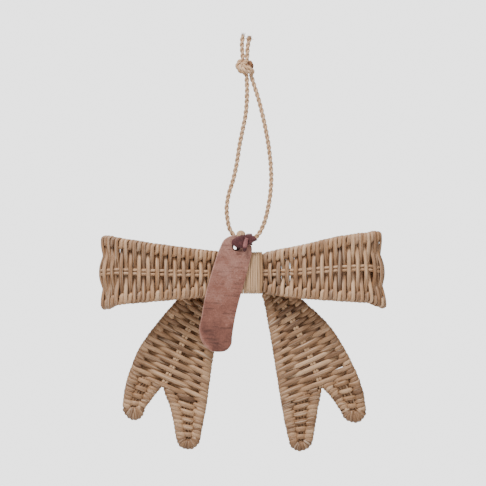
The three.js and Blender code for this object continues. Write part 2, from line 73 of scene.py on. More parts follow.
# The middle of the bow, and the depths of its two layers
BOW = np.array([-0.0039, 0.0, -0.1658])
FRONT_LAYER_Y = -0.0052
BACK_LAYER_Y = 0.0009
LEFT_LOOP = metres({"reach": 122.1, "half": (18.4, 29), "middle": (-1.4, -0.2)})
RIGHT_LOOP = metres({"reach": 121.9, "half": (17.3, 29.2), "middle": (-0.6, 3.4)})
FRONT_BULGE = 0.0114
BACK_DIP = 0.0021
END_BUMP = 0.0028
END_SWELL = 0.0021
SWELL_SHARE = 0.17
END_CROWDING = 0.35
RIGHT_BACK_CROWDING = 0.1
LEFT_BACK_CROWDING = 0.15
# Dark strands just inside the loops' ends, seen through the gaps between rows as painted shade: how far
# in they lie, and their radius
GAP_SHADE_DEPTH = 0.0007
GAP_SHADE_RADIUS = 0.0016
PROFILE_SHARES = (0, 0.32, 0.58, 0.75, 0.86, 0.93, 1)
LEFT_RISE = metres((0, 0.2, 0.7, 2, 2.2, 0.3, -0.7))
RIGHT_RISE = metres((0, 1.4, 4.1, 4.1, 3.2, 0.5, -1))
RIGHT_DROP = metres((0.6, 2.2, 2.1, 1.8, 1.4, 1.8, 3.2))
RIGHT_END_LEAN = 0.0042
MID_STAKE = 0.0031
MID_ROD_RADIUS = MID_STAKE * 0.46
BOUND_SWING = 0.3
END_SWING_CUT = 0.12
EDGE_OVERHANG = 0.0004
END_BUMP_LENGTH = 0.009

# The band of peeled strips round the middle
WRAP_HALF_WIDTH = 0.016
WRAP_HALF_HEIGHT = 0.01725
WRAP_HALF_DEPTH = 0.0099
WRAP_WALL = 0.0016
WRAP_STRIPS = 16
WRAP_SAG = 1.08
WRAP_SQUARENESS = 6
BOUND_HALF = WRAP_HALF_HEIGHT - WRAP_WALL - 0.0013

# The tails, from the middle of the bow: outer edge, spine, inner edge, then the two lobes
TAIL_Y = 0.0069
TAIL_FRONT = (0, -1, 0)
NECK_Y = 0.00575
LEFT_TAIL = metres({
    "outer": [(46, -13.5), (56.4, -23), (78.1, -48.6), (90, -66), (97.5, -84)],
    "spine": [(31.5, -24.5), (40.8, -38.5), (49, -53), (58.1, -75.7), (68.4, -96.4)],
    "inner": [(18.6, -32), (21.2, -46), (24, -62), (27.2, -84), (30.8, -112)],
    "outer_lobe": {
        "outside": [(101.8, -100), (103.5, -113.5)],
        "inside": [(76, -106), (84, -116.5)],
        "tip": (94, -126.8),
    },
    "inner_lobe": {
        "outside": [(62, -117), (60.2, -127.3), (57.6, -141.5)],
        "inside": [(33.3, -125.5), (36.4, -142)],
        "tip": (47.4, -151.8),
    },
})
LEFT_TAIL["side"] = -1
RIGHT_TAIL = metres({
    "outer": [(40, -13.5), (49.6, -22.7), (73.6, -45.5), (89.1, -69.7), (97, -86)],
    "spine": [(30, -23), (39, -36), (47.5, -53), (56.8, -72), (66.9, -98.5)],
    "inner": [(18.4, -31), (20.8, -44), (23.6, -60), (27.2, -83), (31.6, -111)],
    "outer_lobe": {
        "outside": [(102.8, -102.8), (104.8, -117)],
        "inside": [(74, -106), (82.5, -118)],
        "tip": (95.2, -129),
    },
    "inner_lobe": {
        "outside": [(64.2, -113), (62.1, -127), (59.5, -143)],
        "inside": [(35.4, -131.8), (38.4, -144)],
        "tip": (48.7, -153.1),
    },
})
RIGHT_TAIL["side"] = 1
NECK_TOPS = metres([(17.5, 2.2), (12.8, -7.8)])
NECK_LEAST_WIDTH = 0.0125
NECK_ROWS = 7
NECK_STEM_TOP = 0.0135
TAIL_RIM = 0.0016
TAIL_MID_HALF = 0.0016
TAIL_MID_ROD = 0.0014
TAIL_MID_OFFSET = 0.0012
NECK_STEM_RADIUS = 0.00125
LOBE_SKIPS = 1
LOBE_ROD_RADIUS = 0.00122
LOBE_ROD_OFFSET = 0.0025
LOBE_END_RADIUS = 0.0021
TIP_PITCH = ROW_PITCH * 0.52

# The leather tag, its tilt in the picture plane and its turn about the upright
TAG_WIDTH = 0.029
TAG_LENGTH = 0.1
TAG_THICKNESS = 0.0026
TAG_TILT = math.radians(13)
TAG_YAW = math.radians(3.8)
TAG_HOLE_WIDTH = 0.0072
TAG_HOLE_HEIGHT = 0.0082
TAG_HOLE_X = -0.0061
TAG_HOLE_Z = 0.0223
TAG_STAND_OFF = 0.00075
TAG_BEVEL = 0.0005
# The tone of the hole's wall and of the sheet inside it, dark as painted shade
TAG_HOLE_SHADE_TONE = -0.7
TAG_EDGE = [
    (0.01, 0.086), (-0.2, 0.076), (-0.39, 0.027), (-0.455, -0.046), (-0.503, -0.143),
    (-0.552, -0.363), (-0.562, -0.458), (-0.528, -0.673), (-0.52, -0.746), (-0.431, -0.825),
    (-0.266, -0.88), (-0.034, -0.915), (0.183, -0.911), (0.39, -0.886), (0.5, -0.828),
    (0.472, -0.758), (0.432, -0.58), (0.441, -0.42), (0.47, -0.27), (0.483, -0.113),
    (0.483, -0.034), (0.441, 0.022), (0.26, 0.055),
]

# Jute twine: its route from the knot through the eye and back, and the lay of its plies
TWINE = 0.0036
TWINE_ROUTE = metres([
    (-1.2, -1.2, 1.6), (-0.9, -1, -7.6), (-1, -0.4, -19.5), (-2.2, 0, -32.6), (-4.8, 0, -45.7),
    (-7.4, 0, -58.8), (-9.6, 0, -73.2), (-12.4, 0, -86.3), (-16.4, 0, -99.4), (-18.2, 0, -111.3),
    (-17.5, 0, -120.9), (-15.9, 0, -128.4), (-13.6, 0, -132.6), (-10.4, 0, -136.2), (-5.4, 0, -138),
    (2.6, 0, -137.8), (7.8, 0, -135), (11.7, 0, -128.8), (14.2, 0, -122.6), (17.2, 0, -110.4),
    (19.4, 0, -94.6), (19.6, 0, -80.3), (18.3, 0, -64.8), (15.5, 0, -46.9), (11.6, 0.2, -29.1),
    (8.1, 0.6, -15.9), (4.6, 1, -5), (2.6, 1.2, 1.6),
])
TWINE_LAY = 0.0092
PLY_RADIUS = 0.00112
PLY_OFFSET = 0.00092
TWINE_STEP = 0.00055
HAIR_RADIUS = 0.00009
FRAY_RADIUS = 0.00018
EYE_TWINE_Z = TWINE_ROUTE[14][2] - BOW[2]

KNOT_CENTRE = np.array([-0.0026, 0.0, 0.0087])
KNOT_TILT = math.radians(35)
KNOT_WRAP_FROM = 0.003
KNOT_WRAP_TO = -0.0023
KNOT_WRAP_START = 2.5
KNOT_WRAP_TURNS = 1.9
KNOT_WRAP_HALF_WIDTH = 0.0044
KNOT_WRAP_HALF_DEPTH = 0.0016
KNOT_ENDS = metres([
    [(-4.6, 0.6, 13), (-4.6, 0.6, 18), (-5.2, 0.4, 26), (-4.6, 0.2, 35.2)],
    [(-1.2, -0.6, 13), (-0.8, -0.6, 18), (-0.3, -0.4, 26), (1.2, -0.2, 33.8)],
])
KNOT_OUTER_BAND = metres([
    (-5.2, 0.6, 13), (-7.2, -1.2, 13.2), (-8.9, -2, 10.2), (-8.2, -3, 7.2), (-5.6, -3.4, 4.6),
    (-2.6, -2.4, 3.4), (-1.2, -1.2, 1.6),
])
KNOT_TOP_BAND = metres([
    (-0.6, -0.6, 13), (-2.6, -2.6, 12.4), (-4.8, -3, 11.2), (-4.6, -3.6, 9.8), (-1.2, -4.2, 8.2),
    (2.4, -3.2, 6.4), (3.6, -1.2, 4.8), (2.6, 1.2, 1.6),
])
KNOT_INNER_BAND = metres([
    (-7.2, -0.2, 11.2), (-7, -2.8, 9.2), (-5.4, -4.2, 7.2), (-2.6, -4.4, 5.4), (0.4, -3, 4.2),
    (1.8, -0.6, 4.4),
])
KNOT_KNOB = metres([(-1, 1, 12.8), (1.4, -0.4, 12.4), (3, -1, 10.8), (2.6, 0.4, 8.8), (0.2, 1, 7.2)])

# The peeled rattan eye on the wrap
EYE_X = -0.0022
EYE_WIDTH = 0.0076
EYE_THICKNESS = 0.002
EYE_INSIDE_HALF = 0.0034
EYE_INSIDE_TOP = EYE_TWINE_Z + TWINE / 2 + 0.004
EYE_CROWN = 0.0017

# The leather thong that ties the tag to the twine
THONG_THICKNESS = 0.0016
THONG_WIDTH = 0.0052
THONG_HOLE_WIDTH = 0.0044
THONG_STEP = 0.0006
THONG_TWINE_X = 0.0048
THONG_SLACK = 0.001
THONG_FRONT = metres([
    (-9.8, 23.6, 0.8), (-7.8, 24.6, 3.4), (-4.4, 25.2, 4.9), (-0.6, 26.2, 5.1), (4, 27.6, 4.4),
    (8.2, 28, 2.9), (11.7, 27.2, 0.3),
])
THONG_END = metres([(3, 29), (1.8, 24.8), (0.7, 17.4)])
THONG_END_WIDTH = 0.0038
# A dark sheet inside the tag's hole narrows it, as painted shade: its size as a share of the hole, and
# its centre
TAG_HOLE_SHADE_SHARE = 0.46
TAG_HOLE_SHADE_CENTRE = (-0.0006, -0.0014)
# A strip of the thong inside the tag's hole, with the darkest tone as painted shade there: its centre
# line and half width
THONG_IN_HOLE = metres([(-3.4, 18.4), (-3.8, 22.2), (-3.4, 26.2)])
THONG_IN_HOLE_HALF = 0.0017
THONG_END_LIFT = 0.003
THONG_FRONT_LIFT = 0.0008
GAP = 0.0003

# The photograph's frame: its width at the bow, its middle, and a long lens
VIEW_WIDTH = 0.4131
VIEW_MIDDLE = (-0.0043, -0.1411)
LENS = 300
VIEW_PLANE_Y = -0.004
SENSOR = 36
FLOOR_Z = -0.62
FLOOR_RADIUS = 1.3

# The world's strength as light, and as the plain surround that the camera sees
SOFT_LIGHT = 0.34
SURROUND = 3.4

BLACK = (0, 0, 0, 1)
WHITE = (1, 1, 1, 1)

rng = np.random.default_rng(7)


# Curves


def smoothstep(low, high, value):
    share = np.clip((np.asarray(value, float) - low) / (high - low), 0, 1)
    return share * share * (3 - 2 * share)


def unit(vectors):
    return vectors / np.linalg.norm(vectors, axis=-1, keepdims=True)


def spread(value, count):
    """One value or a row of them, as a row of the given length."""
    return np.broadcast_to(np.asarray(value, float), (count,))


def tangents_of(points, closed=False):
    if closed:
        return unit(np.roll(points, -1, axis=0) - np.roll(points, 1, axis=0))
    return unit(np.gradient(points, axis=0))


def runs_of(points):
    """How far along the points each one lies."""
    return np.cumsum(np.linalg.norm(np.diff(points, axis=0, prepend=points[:1]), axis=1))


def smooth_points(points, closed, steps=24):
    """Points of a centripetal Catmull-Rom curve through the given points."""
    pts = np.asarray(points, float)
    if closed:
        ext = np.vstack([pts[-1], pts, pts[:2]])
    else:
        ext = np.vstack([2 * pts[0] - pts[1], pts, 2 * pts[-1] - pts[-2]])
    share = np.linspace(0, 1, steps, endpoint=False)[:, None]
    out = []
    for p0, p1, p2, p3 in zip(ext, ext[1:], ext[2:], ext[3:]):
        gaps = [max(np.linalg.norm(b - a) ** 0.5, 1e-6) for a, b in ((p0, p1), (p1, p2), (p2, p3))]
        t1 = ((p1 - p0) / gaps[0] - (p2 - p0) / (gaps[0] + gaps[1]) + (p2 - p1) / gaps[1]) * gaps[1]
        t2 = ((p2 - p1) / gaps[1] - (p3 - p1) / (gaps[1] + gaps[2]) + (p3 - p2) / gaps[2]) * gaps[1]
        out.append(
            p1 + t1 * share
            + (3 * (p2 - p1) - 2 * t1 - t2) * share ** 2
            + (2 * (p1 - p2) + t1 + t2) * share ** 3
        )
    out.append(ext[-2][None])
    return np.vstack(out)


class Path:
    """A smooth curve that is read by the distance along it."""

    def __init__(self, points, closed=False):
        self.closed = closed
        self.points = smooth_points(points, closed)
        steps = np.linalg.norm(np.diff(self.points, axis=0), axis=1)
        self.run = np.concatenate([[0], np.cumsum(steps)])
        self.length = float(self.run[-1])

    def at(self, distance):
        s = np.asarray(distance, float)
        s = s % self.length if self.closed else np.clip(s, 0, self.length)
        return np.stack([np.interp(s, self.run, self.points[:, k]) for k in range(3)], axis=-1)

    def tangent(self, distance, step=0.0008):
        s = np.asarray(distance, float)
        return unit(self.at(s + step) - self.at(s - step))

    def spaced(self, step):
        count = max(2, round(self.length / step))
        if self.closed:
            return self.at(np.arange(count) * self.length / count)
        return self.at(np.linspace(0, self.length, count + 1))


def wobble(count, size, period, seed_rng):
    """Slow random waves in three directions, one row for each point."""
    phase = seed_rng.uniform(0, 2 * math.pi, (3, 3))
    speed = seed_rng.uniform(0.6, 1.7, (3, 3)) * 2 * math.pi / period
    run = np.arange(count)[:, None, None]
    return size * np.sin(run * speed + phase).sum(axis=2) / 1.7


# Meshes


def transported(tangents, closed):
    """Side vectors that turn as little as they can along a path."""
    side = np.cross(tangents[0], (0.31, 0.62, 0.72))
    side /= np.linalg.norm(side)
    sides = np.empty_like(tangents)
    for i, tangent in enumerate(tangents):
        side = side - tangent * side.dot(tangent)
        side = side / math.sqrt(side.dot(side))
        sides[i] = side
    if closed:
        first = sides[0] - tangents[0] * sides[-1].dot(tangents[0])
        across = np.cross(tangents[0], sides[0])
        last = sides[-1] - tangents[0] * sides[-1].dot(tangents[0])
        angle = math.atan2(last.dot(across), last.dot(first))
        turns = -angle * np.arange(len(tangents)) / len(tangents)
        other = np.cross(tangents, sides)
        sides = sides * np.cos(turns)[:, None] + other * np.sin(turns)[:, None]
    return sides


class Skin:
    """Collects swept surfaces as one mesh, with the fibre's run and tone of every point."""

    def __init__(self):
        self.points = []
        self.faces = []
        self.fibre = []
        self.tone = []
        self.count = 0

    def add_rings(self, rings, fibre, tone, closed):
        rows, sides = rings.shape[:2]
        grid = self.count + np.arange(rows * sides).reshape(rows, sides)
        here = grid if closed else grid[:-1]
        there = np.roll(grid, -1, axis=0) if closed else grid[1:]
        quads = np.stack([here, there, np.roll(there, -1, axis=1), np.roll(here, -1, axis=1)], axis=-1)
        self.faces += quads.reshape(-1, 4).tolist()
        self.points.append(rings.reshape(-1, 3))
        self.fibre.append(fibre.reshape(-1, 3))
        self.tone.append(np.repeat(tone, sides) if tone.ndim == 1 else tone.ravel())
        self.count += rows * sides
        if not closed:
            for ring, order in ((grid[0], 1), (grid[-1], -1)):
                middle = rings[0 if order == 1 else -1].mean(axis=0)
                self.points.append(middle[None])
                self.fibre.append(np.zeros((1, 3)))
                self.tone.append(tone[:1])
                loop = ring[::order]
                self.faces += [[self.count, int(a), int(b)] for a, b in zip(loop, np.roll(loop, -1))]
                self.count += 1

    def add_swept(self, rings, centres, u, v, tone, closed):
        """Adds rings round a path, with each point's place on the strand and its run along it."""
        fibre = np.empty(rings.shape)
        fibre[..., 0] = u
        fibre[..., 1] = v
        fibre[..., 2] = (runs_of(centres) + rng.uniform(0, 5))[:, None]
        self.add_rings(rings, fibre, spread(tone, len(centres)), closed)

    def tube(self, centres, radius, tone, sides=8, closed=False, rough=0.0, wide=None, flat=1.0):
        """A strand, whose radius and tone may change; it is wider along the wide vectors if given."""
        tangents = tangents_of(centres, closed)
        if wide is None:
            side = transported(tangents, closed)
        else:
            side = unit(wide - tangents * np.sum(wide * tangents, axis=1, keepdims=True))
        other = np.cross(tangents, side) * flat
        angles = np.arange(sides) * 2 * math.pi / sides
        u = np.cos(angles)
        v = np.sin(angles)
        reach = spread(radius, len(centres))[:, None]
        if rough:
            reach = reach * (1 + rough * rng.normal(size=(len(centres), sides)))
        about = side[:, None] * u[None, :, None] + other[:, None] * v[None, :, None]
        self.add_swept(centres[:, None] + reach[..., None] * about, centres, u, v, tone, closed)

    def strip(
        self, centres, normals, half_width, half_depth, tone, closed=False, crown=STRIP_CROWN, bend=0.0,
    ):
        """A flat strip with a crowned face that looks along its normals."""
        tangents = tangents_of(centres, closed)
        normals = unit(normals - tangents * np.sum(normals * tangents, axis=1, keepdims=True))
        across = np.cross(tangents, normals)
        top = 1 - (1 - STRIP_HEIGHTS) * (crown / STRIP_CROWN)
        u = np.concatenate([STRIP_PLACES, STRIP_PLACES[::-1][1:-1]])
        v = np.concatenate([top, -top[::-1][1:-1] * 0.9])
        place = u[None, :, None]
        width = spread(half_width, len(centres))[:, None, None]
        rise = v[None, :, None] * half_depth - bend * place ** 2
        rings = centres[:, None] + across[:, None] * place * width + normals[:, None] * rise
        self.add_swept(rings, centres, u * 2.6, v, tone, closed)

    def piece(self, name, material, node):
        """Makes the object, which rides on the body and stands for a node."""
        mesh = bpy.data.meshes.new(name)
        mesh.from_pydata(np.vstack(self.points).tolist(), [], self.faces)
        mesh.update()
        fibre = mesh.attributes.new("fibre", "FLOAT_VECTOR", "POINT")
        fibre.data.foreach_set("vector", np.vstack(self.fibre).ravel())
        tone = mesh.attributes.new("tone", "FLOAT", "POINT")
        tone.data.foreach_set("value", np.concatenate(self.tone))
        mesh.polygons.foreach_set("use_smooth", [True] * len(mesh.polygons))
        mesh.materials.append(material)
        obj = bpy.data.objects.new(name, mesh)
        bpy.context.scene.collection.objects.link(obj)
        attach(obj, "root")
        if node:
            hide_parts(node)
        return obj


# Materials


def linear(red, green, blue):
    """A colour given in display values from 0 to 255."""
    values = [c / 255 for c in (red, green, blue)]
    return [c / 12.92 if c <= 0.04045 else ((c + 0.055) / 1.055) ** 2.4 for c in values] + [1]


class Nodes:
    """A material's node tree with short calls."""

    def __init__(self, name, roughness, specular):
        self.material = bpy.data.materials.new(name)
        self.material.use_nodes = True
        self.tree = self.material.node_tree
        self.shader = self.tree.nodes["Principled BSDF"]
        self.shader.inputs["Roughness"].default_value = roughness
        self.shader.inputs["Specular IOR Level"].default_value = specular

    def feed(self, socket, value):
        """Links a socket to another, or sets its plain value."""
        if isinstance(value, bpy.types.NodeSocket):
            self.tree.links.new(value, socket)
        else:
            socket.default_value = value

    def node(self, kind, **sockets):
        node = self.tree.nodes.new(kind)
        for name, value in sockets.items():
            self.feed(node.inputs[name.replace("_", " ")], value)
        return node

    def attribute(self, name, output):
        node = self.tree.nodes.new("ShaderNodeAttribute")
        node.attribute_name = name
        return node.outputs[output]

    def noise(self, vector, scale, detail, roughness=0.5):
        sockets = {"Vector": vector, "Scale": scale, "Detail": detail, "Roughness": roughness}
        return self.node("ShaderNodeTexNoise", **sockets).outputs["Fac"]

    def grain(self, vector, across, along, detail, roughness=0.5):
        """Noise with a scale of its own along the vector's third axis."""
        scaled = self.node("ShaderNodeMapping", Vector=vector, Scale=(across, across, along))
        return self.noise(scaled.outputs["Vector"], 1.0, detail, roughness)

    def maths(self, operation, first, second):
        node = self.tree.nodes.new("ShaderNodeMath")
        node.operation = operation
        self.feed(node.inputs[0], first)
        self.feed(node.inputs[1], second)
        return node.outputs[0]

    def total(self, *terms):
        """The sum of values, each times its share."""
        parts = [self.maths("MULTIPLY", value, share) for value, share in terms]
        total = parts[0]
        for part in parts[1:]:
            total = self.maths("ADD", total, part)
        return total

    def ramp(self, value, stops):
        node = self.tree.nodes.new("ShaderNodeValToRGB")
        self.tree.links.new(value, node.inputs["Fac"])
        elements = node.color_ramp.elements
        while len(elements) < len(stops):
            elements.new(0.5)
        for element, (place, colour) in zip(elements, stops):
            element.position = place
            element.color = colour
        return node.outputs["Color"]

    def mask(self, value, low, high, most):
        """From nothing at the low value to the most at the high one."""
        return self.maths("MULTIPLY", self.ramp(value, [(low, BLACK), (high, WHITE)]), most)

    def mix(self, share, first, second, blend="MIX"):
        node = self.tree.nodes.new("ShaderNodeMix")
        node.data_type = "RGBA"
        node.blend_type = blend
        for place, value in ((0, share), (6, first), (7, second)):
            self.feed(node.inputs[place], value)
        return node.outputs[2]

    def bump(self, height, distance, strength, under=None):
        node = self.node("ShaderNodeBump", Height=height, Distance=distance, Strength=strength)
        if under is not None:
            self.tree.links.new(under, node.inputs["Normal"])
        return node.outputs["Normal"]

    def spanned(self, value, low, high):
        return self.node("ShaderNodeMapRange", Value=value, To_Min=low, To_Max=high).outputs[0]

    def finish(self, **sockets):
        for name, value in sockets.items():
            self.tree.links.new(value, self.shader.inputs[name.replace("_", " ")])
        return self.material


def rattan(name, dark, middle, light, streak=0.35, grey=None):
    """Dry rattan: long fibres, slow change along a strand and a tone of its own for each."""
    n = Nodes(name, 0.55, 0.35)
    fibre = n.attribute("fibre", "Vector")
    lines = n.grain(fibre, 3.0, 70, 4.0, 0.7)
    patches = n.grain(fibre, 0.5, 110, 2.0)
    value = n.total((lines, streak), (patches, 0.35), (n.attribute("tone", "Fac"), 0.5))
    colour = n.ramp(value, [(0.28, dark), (0.6, middle), (0.92, light)])
    if grey:
        colour = n.mix(n.mask(n.grain(fibre, 0.9, 45, 3.0, 0.6), 0.45, 0.7, 0.5), colour, grey)
    glint = n.mask(n.grain(fibre, 2.6, 30, 2.0), 0.56, 0.68, 0.45)
    colour = n.mix(glint, colour, linear(226, 200, 172))
    normal = n.bump(lines, 0.00036, 0.8)
    return n.finish(Base_Color=colour, Normal=normal, Roughness=n.spanned(lines, 0.38, 0.7))


def jute():
    """Loose jute fibres round each ply, with dark grooves between the plies."""
    n = Nodes("jute", 0.85, 0.15)
    n.shader.inputs["Sheen Weight"].default_value = 0.3
    n.shader.inputs["Sheen Roughness"].default_value = 0.6
    fibre = n.attribute("fibre", "Vector")
    lines = n.grain(fibre, 4.5, 240, 4.0, 0.75)
    patches = n.grain(fibre, 0.6, 160, 2.0)
    value = n.total((lines, 0.5), (patches, 0.3), (n.attribute("tone", "Fac"), 0.3))
    colour = n.ramp(value, [
        (0.2, linear(120, 74, 38)), (0.46, linear(186, 142, 98)), (0.78, linear(224, 192, 160)),
    ])
    return n.finish(Base_Color=colour, Normal=n.bump(lines, 0.0004, 0.9))


def leather(name, dark, middle, light, crease_shade_share=0.5):
    """Worn matt leather with pores, mottling and creases across it; the creases are bumped and are also
    painted darker, as painted shade in them.
    """
    n = Nodes(name, 0.62, 0.3)
    where = n.node("ShaderNodeTexCoord").outputs["Object"]
    mottle = n.noise(where, 90, 4.0, 0.6)
    pores = n.node("ShaderNodeTexVoronoi", Vector=where, Scale=1300).outputs["Distance"]
    grain = n.noise(where, 900, 3.0, 0.6)
    creases = n.grain(where, 60, 420, 5.0, 0.65)
    lines = n.ramp(creases, [(0.36, BLACK), (0.47, WHITE), (0.56, (0.75, 0.75, 0.75, 1))])
    value = n.total((mottle, 0.42), (grain, 0.3), (n.attribute("tone", "Fac"), 0.55))
    colour = n.ramp(value, [(0.3, dark), (0.56, middle), (0.85, light)])
    # Painted shade: the colour is multiplied darker along the creases
    colour = n.mix(0.8, colour, n.mix(crease_shade_share, WHITE, lines), "MULTIPLY")
    fine = n.bump(n.total((pores, 0.5), (grain, 1)), 0.00022, 0.6)
    normal = n.bump(lines, 0.0003, 0.5, fine)
    return n.finish(Base_Color=colour, Normal=normal, Roughness=n.spanned(mottle, 0.5, 0.78))


# Camera and twine


def add_camera():
    data = bpy.data.cameras.new("camera")
    data.lens = LENS
    data.sensor_width = SENSOR
    data.clip_end = 20
    camera = bpy.data.objects.new("camera", data)
    bpy.context.scene.collection.objects.link(camera)
    distance = VIEW_WIDTH * LENS / SENSOR
    camera.location = (VIEW_MIDDLE[0], VIEW_PLANE_Y - distance, VIEW_MIDDLE[1])
    camera.rotation_euler = (math.pi / 2, 0, 0)
    bpy.context.scene.camera = camera


def plies(skin, centres, tone=0.5):
    """Two plies twisted round each other along a path."""
    tangents = tangents_of(centres)
    side = transported(tangents, False)
    other = np.cross(tangents, side)
    turn = runs_of(centres) * 2 * math.pi / TWINE_LAY
    for ply in range(2):
        angle = (turn + ply * math.pi)[:, None]
        path = centres + PLY_OFFSET * (side * np.cos(angle) + other * np.sin(angle))
        path = path + wobble(len(path), 0.00006, 9, rng)
        skin.tube(path, PLY_RADIUS, tone + rng.uniform(-0.15, 0.15), sides=9, rough=0.035)


def hairs(skin, centres, count, reach):
    """Short loose fibres that stand off the twine."""
    tangents = tangents_of(centres)
    for index in rng.integers(2, len(centres) - 2, count):
        out = unit(np.cross(tangents[index], rng.normal(size=3)))
        start = centres[index] + out * PLY_RADIUS * 1.3
        along = tangents[index] * rng.uniform(-1, 1) * reach
        length = rng.uniform(0.3, 1) * reach
        share = np.linspace(0, 1, 4)[:, None]
        path = start + out * length * share + along * share ** 2
        skin.tube(path, np.array([1, 0.9, 0.7, 0.3]) * HAIR_RADIUS, rng.uniform(0.4, 1), sides=3)


def twine_loop():
    route = Path(TWINE_ROUTE)
    centres = route.spaced(TWINE_STEP)
    skin = Skin()
    plies(skin, centres)
    hairs(skin, centres, 170, 0.0013)
    return skin.piece("jute_twine", JUTE, "twine_loop"), route.length, centres


def knot_wrap():
    """The turns round the knot's tilted axis."""
    turns = np.linspace(0, KNOT_WRAP_TURNS * 2 * math.pi, round(70 * KNOT_WRAP_TURNS) + 8)
    angle = KNOT_WRAP_START + turns
    rise = KNOT_WRAP_FROM + (KNOT_WRAP_TO - KNOT_WRAP_FROM) * np.linspace(0, 1, len(angle))
    x = KNOT_WRAP_HALF_WIDTH * np.cos(angle)
    y = KNOT_WRAP_HALF_DEPTH * np.sin(angle)
    tilted_x = x * math.cos(KNOT_TILT) + rise * math.sin(KNOT_TILT)
    tilted_z = -x * math.sin(KNOT_TILT) + rise * math.cos(KNOT_TILT)
    return KNOT_CENTRE + np.stack([tilted_x, y, tilted_z], axis=1)


def frayed(skin, tip, direction, count, scatter, length):
    """The loose fibres at a cut end of the twine."""
    for _ in range(count):
        lean = unit(direction + rng.normal(size=3) * scatter)
        reach = length * rng.uniform(0.45, 1)
        bend = rng.normal(size=3) * 0.0006
        share = np.linspace(0, 1, 5)[:, None]
        start = tip - direction * 0.0012 + rng.normal(size=3) * 0.0005
        path = start + lean * reach * share + bend * share ** 2
        radius = np.array([1.5, 1.4, 1.2, 0.9, 0.5]) * FRAY_RADIUS
        skin.tube(path, radius, rng.uniform(-1.1, 0.5), sides=4)


def twine_knot():
    skin = Skin()
    # The coil and the knob lie behind the bands, and their dark tones are painted shade on these recessed
    # strands
    plies(skin, knot_wrap(), -0.4)
    bands = ((KNOT_OUTER_BAND, 0.5), (KNOT_TOP_BAND, 0.6), (KNOT_INNER_BAND, 0.8), (KNOT_KNOB, -0.5))
    for route, tone in bands:
        plies(skin, Path(route).spaced(TWINE_STEP), tone)
    for route, lean, count in zip(KNOT_ENDS, ((0.4, 0, 1), (0.3, 0, 1)), (24, 90)):
        centres = Path(route).spaced(TWINE_STEP)
        plies(skin, centres, 0.45)
        hairs(skin, centres, 14, 0.001)
        frayed(skin, centres[-1], unit(np.array(lean, float)), count, 0.14 + 0.011 * count, 0.0034)
    return skin.piece("overhand_knot", JUTE, "twine_knot")


# Weaving


class Row:
    """A line across the weave from its near edge to its far edge, with the rods that it crosses."""

    def __init__(self, near, far, front, groups, swing, swell=0.0):
        self.near = np.asarray(near, float)
        span = np.asarray(far, float) - self.near
        self.length = float(np.linalg.norm(span))
        self.along = span / self.length
        self.front = np.asarray(front, float)
        self.stake = np.cross(self.along, self.front)
        self.groups = groups
        self.swing = swing
        self.swell = swell

    def point(self, t, depth):
        t = np.asarray(t, float)[..., None]
        bulge = self.swell * np.exp(-((t / self.length - 0.5) / SWELL_SHARE) ** 2)
        depth = np.asarray(depth, float)[..., None] + bulge
        return self.near + self.along * t + self.front * depth

    def depth(self, t, number):
        """Over the rods of one group and under those of the next."""
        places = [p for group in self.groups for p in group]
        phase = [k + e for k in range(len(self.groups)) for e in (0, 0)]
        place = np.interp(t, places, phase)
        whole = np.floor(place)
        share = place - whole
        share = share * share * (3 - 2 * share)
        sign = np.where((number + whole) % 2 == 0, 1.0, -1.0)
        return self.swing * sign * (1 - 2 * share)


def rim_turn(row, following, number, at_far):
    """The strand's turn round the rim rod into the next row."""
    angle = np.linspace(0, math.pi, TURN_STEPS + 1)[1:-1]
    group = len(row.groups) - 1 if at_far else 0
    sign = 1.0 if (number + group) % 2 == 0 else -1.0
    share = smoothstep(0, math.pi, angle)[:, None]
    first = turn_point(row, angle, sign, at_far)
    second = turn_point(following, angle, sign, at_far)
    return first * (1 - share) + second * share


def turn_point(row, angle, sign, at_far):
    out = RIM_INSET - SWING * np.sin(angle)
    t = row.length - out if at_far else out
    return row.point(t, row.swing * np.cos(angle) * sign)


class Cane:
    """One flattened strand: its points, the directions that it is wide along, and its tones."""

    def __init__(self):
        self.points = []
        self.wide = []
        self.tone = []

    def add(self, points, stake, first_tone, last_tone):
        self.points.append(points)
        self.wide.append(np.tile(stake, (len(points), 1)))
        self.tone.append(np.linspace(first_tone, last_tone, len(points)))

    def sweep(self, skin, closed, half_width):
        path = np.vstack(self.points)
        path = path + wobble(len(path), STRAND_WAVER, 40, rng)
        width = half_width * (1 + wobble(len(path), 0.05, 60, rng)[:, 0])
        tone = np.concatenate(self.tone)
        flat = STRAND_HALF_DEPTH / half_width
        skin.tube(path, width, tone, closed=closed, wide=np.vstack(self.wide), flat=flat)


def weft(skin, rows, tones, closed, half_width):
    """One long strand that runs to and fro across the rows."""
    cane = Cane()
    for number, row in enumerate(rows):
        forward = number % 2 == 0
        count = max(4, round((row.length - 2 * RIM_INSET) / STRAND_STEP))
        t = np.linspace(RIM_INSET, row.length - RIM_INSET, count)
        t = t if forward else t[::-1]
        cane.add(row.point(t, row.depth(t, number)), row.stake, tones[number], tones[number])
        if number + 1 < len(rows) or closed:
            after = (number + 1) % len(rows)
            turn = rim_turn(row, rows[after], number, forward)
            cane.add(turn, unit(row.stake + rows[after].stake), tones[number], tones[after])
    cane.sweep(skin, closed, half_width)


def wrap_point(row, at_far, is_outer, angle, sign):
    """A place on a half turn round a rim's outer or inner stake."""
    low, high = row.groups[-1 if at_far else 0]
    outward = 1.0 if at_far == is_outer else -1.0
    t = (high if at_far == is_outer else low) + outward * row.swing * np.sin(angle)
    return row.point(t, row.swing * np.cos(angle) * sign)


